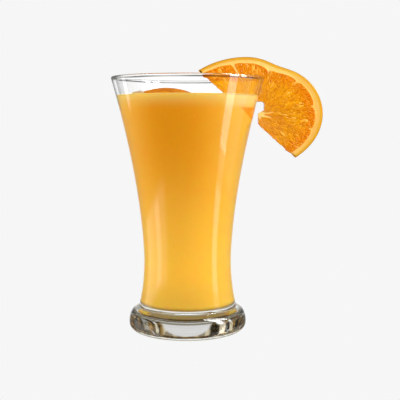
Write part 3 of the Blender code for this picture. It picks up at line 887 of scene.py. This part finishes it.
def flesh_colour(n, spot, peel, sacs, gap):
    """The juice sacs: each its own orange, lighter at its edge, with painted glints, deeper towards the
    peel, and with painted light where the slice dips into the glass.
    """
    cell = n.node("TexVoronoi", sacs, None, 1.0, feature="F1").outputs["Color"]
    tone = n.node("SeparateXYZ", cell).outputs
    flesh = n.mix(tone["X"], SAC_DEEP, SAC_LIGHT)
    near_peel = n.math("MULTIPLY", n.over(peel, 5, 12, 1.0, 0.0), n.over(spot["X"], 42, 60, 0.68, 1.0))
    flesh = n.mix(near_peel, flesh, SAC_NEAR_PEEL)
    flesh = n.mix(n.smooth(gap, 0.0, 0.1, 0.5, 0.0), flesh, SAC_EDGE)
    # Painted glints: a few sacs made pale.
    flesh = n.mix(n.smooth(tone["Y"], 0.93, 0.97, 0.0, 0.6), flesh, SAC_PAINTED_GLINT)
    # Painted glints where a noise is high, and darker sacs where it is low.
    glint_noise = n.noise(2.6, 2.0, sacs)
    flesh = n.mix(n.smooth(glint_noise, 0.6, 0.68, 0.0, 0.75), flesh, SAC_PAINTED_SPARK)
    flesh = n.mix(n.smooth(glint_noise, 0.36, 0.3, 0.0, 0.5), flesh, SAC_SHADE)
    # Painted light on the part of the slice inside the glass, which the glass leaves too dim.
    painted_light_in_glass = n.math("MULTIPLY", n.over(spot["X"], 36.5, 33.0), n.over(spot["Z"], 128.3, 127.3), 0.6)
    return n.mix(painted_light_in_glass, flesh, SAC_PAINTED_LIGHT_IN_GLASS)


def orange_flesh():
    """The slice: flavedo, pale pith and membranes, and flesh made of long juice sacs that point to the core.

    The sacs are Voronoi cells in turn and radius about the core, scaled so that a cell is long and thin.
    """
    material = bpy.data.materials.new("orange slice")
    n = Nodes(material)
    spot = n.place()
    peel, depth = n.carried("peel_depth"), n.carried("flesh_depth")
    across = n.math("SUBTRACT", spot["X"], float(SLICE_CORE[0]))
    up = n.math("SUBTRACT", spot["Z"], float(SLICE_CORE[1]))
    radius = n.math("SQRT", n.math("ADD", n.math("MULTIPLY", across, across), n.math("MULTIPLY", up, up)))
    sway = n.noise(260.0, 2.0)
    turn = n.math("MULTIPLY", n.math("ARCTAN2", up, across), SACS_AROUND)
    turn = n.math("ADD", turn, n.math("MULTIPLY", sway, SAC_SWAY))
    reach = n.math("MULTIPLY", radius, 1 / SAC_LENGTH)
    shift = n.math("MULTIPLY", n.carried("segment"), SEGMENT_SHIFT)
    layer = n.math("ADD", n.math("MULTIPLY", spot["Y"], SACS_ACROSS), shift)
    sacs = n.node("CombineXYZ", turn, reach, layer).outputs[0]
    gap = n.node("TexVoronoi", sacs, None, 1.0, feature="DISTANCE_TO_EDGE").outputs["Distance"]
    flesh = flesh_colour(n, spot, peel, sacs, gap)

    pith = n.mix(sway, PITH_DEEP, PITH_PALE)
    pith = n.mix(n.over(spot["X"], 46, 62, 0.0, 0.55), pith, PITH_RIGHT)
    web = n.mix(n.carried("pale"), MEMBRANE_THIN, pith)
    web = n.mix(n.over(radius, 2.4, 3.6), CORE_PALE, web)
    inside = n.mix(n.over(depth, -0.15, 0.35), web, flesh)
    pores = n.noise(1400.0, 2.0)
    rind = n.mix(n.over(peel, 0.1, 0.9), RIND_EDGE, RIND_BODY)
    rind = n.mix(n.smooth(pores, 0.5, 0.75, 0.0, 0.35), rind, RIND_PORES)

    is_flesh = n.over(depth, 0.0, 0.4)
    swell = n.math("MULTIPLY", n.smooth(gap, 0.0, 0.35), is_flesh)
    shader = n.named(
        "BsdfPrincipled",
        Base_Color=n.mix(n.over(peel, 1.1, 2.0), rind, inside),
        Roughness=n.math("SUBTRACT", 0.5, n.math("MULTIPLY", is_flesh, 0.3)),
        Specular_IOR_Level=0.1,
        Subsurface_Weight=0.25,
        Subsurface_Radius=(1.0, 0.4, 0.1),
        Subsurface_Scale=1.2 * MM,
        Normal=n.bump(0.7, 0.22 * MM, n.math("ADD", n.math("MULTIPLY", pores, 0.25), swell)),
    )
    n.end(shader.outputs[0])
    return material


def orange_peel():
    """The floating wedge's wet peel: two oranges in soft patches, with a Voronoi cell for each pore."""
    material = bpy.data.materials.new("orange peel")
    n = Nodes(material)
    pores = n.node("TexVoronoi", n.where(), None, 900.0, feature="F1").outputs["Distance"]
    shader = n.named(
        "BsdfPrincipled",
        Base_Color=n.mix(n.smooth(n.noise(220.0, 3.0), 0.35, 0.65), PEEL_DEEP, PEEL_LIGHT),
        Roughness=0.6,
        Specular_IOR_Level=0.02,
        Subsurface_Weight=0.2,
        Subsurface_Radius=(1.0, 0.4, 0.1),
        Subsurface_Scale=1.5 * MM,
        Normal=n.bump(0.5, 0.15 * MM, pores),
    )
    n.end(shader.outputs[0])
    return material


def pulp():
    """Pale tan pulp, cloudy and moist."""
    material = bpy.data.materials.new("pulp")
    n = Nodes(material)
    shader = n.named(
        "BsdfPrincipled",
        Base_Color=n.mix(n.noise(900.0, 3.0), PULP_TAN, PULP_PALE),
        Roughness=0.4,
        Subsurface_Weight=0.4,
        Subsurface_Radius=(1.0, 0.5, 0.2),
        Subsurface_Scale=1 * MM,
    )
    n.end(shader.outputs[0])
    return material


def studio_piece(name, points, faces, finish, unseen_by):
    """A mesh of the studio, which these kinds of ray don't see."""
    mesh = bpy.data.meshes.new(name)
    mesh.from_pydata(points, [], faces)
    mesh.materials.append(finish)
    obj = bpy.data.objects.new(name, mesh)
    bpy.context.scene.collection.objects.link(obj)
    for kind in unseen_by:
        setattr(obj, "visible_" + kind, False)
    return obj


def make_floor():
    """A pale floor of its own light, the backdrop's grey, that only the camera sees."""
    material = bpy.data.materials.new("pale floor")
    n = Nodes(material)
    n.end(n.node("Emission", grey(BACKDROP), 1.0).outputs[0])
    square = ((-1, -1), (1, -1), (1, 1), (-1, 1))
    corners = [(x * FLOOR_REACH, y * FLOOR_REACH, FLOOR_LEVEL) for x, y in square]
    unseen_by = ("glossy", "transmission", "diffuse", "shadow")
    floor = studio_piece("floor", corners, [(0, 1, 2, 3)], material, unseen_by)


def panel(n, turn, height, middle, width, soft, low, high, fade, value):
    """A lit patch: turn within width of its middle, height from low to high, with soft edges."""
    side = n.math("ABSOLUTE", n.math("SUBTRACT", turn, middle))
    inside = n.smooth(side, width / 2, width / 2 + soft, 1.0, 0.0)
    above = n.over(height, low - fade, low)
    below = n.over(height, high, high + fade, 1.0, 0.0)
    return n.math("MULTIPLY", inside, above, below, value)


def wall_light():
    """The light wall's finish: darkest in front, lighter at the sides, light low behind, and the panels.

    The turn about the axis is 0 towards the camera and positive to its right.
    """
    material = bpy.data.materials.new("light panels")
    n = Nodes(material)
    spot = n.place()
    turn = n.math("ARCTAN2", spot["X"], n.math("MULTIPLY", spot["Y"], -1.0))
    turn = n.math("MULTIPLY", turn, 180 / math.pi)
    away = n.math("ABSOLUTE", turn)
    back = n.math("MULTIPLY", n.smooth(away, 138, 172, 0.0, 0.9), n.over(spot["Z"], 105, 140, 1.0, 0.0))
    panels = [panel(n, turn, spot["Z"], *values) for values in LIGHT_PANELS]
    light = n.math("ADD", n.smooth(away, 40, 110, 0.04, 0.24), back, *panels)
    n.end(n.node("Emission", WHITE, light).outputs[0])
    material.cycles.emission_sampling = "NONE"
    return material


def make_light_wall():
    """A round wall of light panels about the glass that only reflections show: an upright open cylinder."""
    angle = np.arange(WALL_STEPS) * (2 * np.pi / WALL_STEPS)
    around = np.stack([np.cos(angle), np.sin(angle), np.zeros(WALL_STEPS)], axis=-1) * WALL_RADIUS
    points = np.concatenate([around + [0, 0, -WALL_HEIGHT], around + [0, 0, WALL_HEIGHT]])
    place = np.arange(WALL_STEPS)
    after = (place + 1) % WALL_STEPS
    faces = np.stack([place, after, after + WALL_STEPS, place + WALL_STEPS], axis=-1)
    unseen_by = ("camera", "diffuse", "transmission", "shadow", "volume_scatter")
    wall = studio_piece("light_wall", points.tolist(), faces.tolist(), wall_light(), unseen_by)


def table_colour(n, generated, turn, way):
    """The table at both sides of the window: brown and gold in noisy streaks, and its bright strips.

    A strip lies where the turn, bent by noise and by how steep the way is, is within its half width.
    """
    streaks = n.noise(11.0, 3.0, generated)
    table = n.mix(n.smooth(streaks, 0.45, 0.6), TABLE_DARK, TABLE_GOLD)
    sway = n.math("MULTIPLY", n.math("SUBTRACT", n.noise(7.0, 1.0, generated), 0.5), 9.0)
    bent = n.math("ADD", turn, sway, n.math("MULTIPLY", way["Z"], 40.0))
    for middle, half_width, value in TABLE_STRIPS:
        near = n.math("ABSOLUTE", n.math("SUBTRACT", bent, middle))
        table = n.mix(n.smooth(near, half_width, half_width + 1.5, 1.0, 0.0), table, grey(value))
    return table


def colour_through_glass(n, path):
    """What a way through glass ends on, by its turn from straight behind and by how steep it is.

    Level ways end on a light backdrop, and ways that fall end on the floor. Ways that rise end on the
    window, on the table beside it or on the browns above them, or on bright light if they turn back to the
    front. The number of a way's bends is odd if it went straight on, and even if the glass mirrored it once
    inside: then the floor is dark.
    """
    generated = n.node("TexCoord").outputs["Generated"]
    way = n.node("SeparateXYZ", generated).outputs
    turn = n.math("MULTIPLY", n.math("ARCTAN2", way["X"], way["Y"]), 180 / math.pi)
    behind = n.math("ABSOLUTE", turn)
    in_front = n.smooth(behind, 90.0, 105.0)
    straight = n.math("MODULO", path["Ray Depth"], 2.0)
    beside = n.math("ADD", behind, n.math("MULTIPLY", way["Z"], 22.0))
    steep = n.mix(n.smooth(beside, 18.0, 21.0), WINDOW, table_colour(n, generated, turn, way))
    steep = n.mix(n.smooth(way["Z"], 0.36, 0.46), steep, WINDOW_HEAD)
    steep = n.mix(n.smooth(way["Z"], 0.5, 0.6), steep, HIGH_BROWN)
    steep = n.mix(in_front, steep, grey(BRIGHT_FRONT))
    level_in_front = n.mix(straight, grey(LEVEL_MIRRORED), grey(LEVEL_IN_FRONT))
    level = n.mix(in_front, grey(LEVEL_BEHIND), level_in_front)
    floor = n.mix(straight, grey(FLOOR_MIRRORED), grey(FLOOR_SEEN))
    low = n.mix(n.smooth(way["Z"], -0.16, -0.1), floor, level)
    return n.mix(n.smooth(way["Z"], 0.07, 0.12), low, steep), way


def make_world():
    """The studio: flat grey to the camera, soft white for diffuse light, a pale floor and a dark ceiling in
    reflections, and its own colours through glass.
    """
    world = bpy.data.worlds.new("studio")
    bpy.context.scene.world = world
    n = Nodes(world)
    path = n.node("LightPath").outputs
    through, way = colour_through_glass(n, path)
    mirrored = n.mix(n.smooth(way["Z"], -0.2, 0.2), grey(REFLECTED_FLOOR), grey(REFLECTED_CEILING))
    colour = n.mix(path["Is Transmission Ray"], mirrored, through)
    colour = n.mix(path["Is Diffuse Ray"], colour, grey(SOFT_LIGHT))
    colour = n.mix(path["Is Camera Ray"], colour, grey(BACKDROP))
    n.end(n.node("Background", colour, 1.0).outputs[0])


def make_lamps():
    """Area lamps that face the glass and don't show themselves in it.

    A lamp shines down its own -Z, so it is tipped by the angle from straight down and then turned about Z.
    """
    for name, place, size, power in LAMPS:
        light = bpy.data.lights.new(name, "AREA")
        light.shape = "RECTANGLE"
        light.size, light.size_y = size
        light.energy = power
        lamp = bpy.data.objects.new(name, light)
        bpy.context.scene.collection.objects.link(lamp)
        way = np.array(LAMP_AIM) - np.array(place)
        lamp.location = place
        lamp.rotation_euler = (math.acos(-way[2] / np.linalg.norm(way)), 0, math.atan2(-way[0], way[1]))
        lamp.visible_camera = False
        lamp.visible_glossy = False
        lamp.visible_transmission = False


def make_camera():
    """The photograph's camera: a little lower than the rim, and pitched a little down."""
    camera = bpy.data.cameras.new("camera")
    camera.sensor_fit = "HORIZONTAL"
    camera.sensor_width = SENSOR_WIDTH
    camera.lens = CAMERA_LENS
    camera.clip_start = 0.01
    obj = bpy.data.objects.new("camera", camera)
    bpy.context.scene.collection.objects.link(obj)
    obj.location = CAMERA_PLACE
    obj.rotation_euler = (math.pi / 2 - CAMERA_PITCH, 0, 0)
    bpy.context.scene.camera = obj


bpy.context.scene.view_settings.view_transform = "Standard"
make_glass(clear_glass())
make_juice(
    juice_finish("juice behind glass", juice_colour, 0.6, 0.05),
    juice_finish("juice surface", surface_colour, 0.12, 0.5),
)
make_slice(orange_flesh())
make_wedge(orange_peel())
make_fleck(pulp())
make_floor()
make_light_wall()
make_world()
make_lamps()
make_camera()
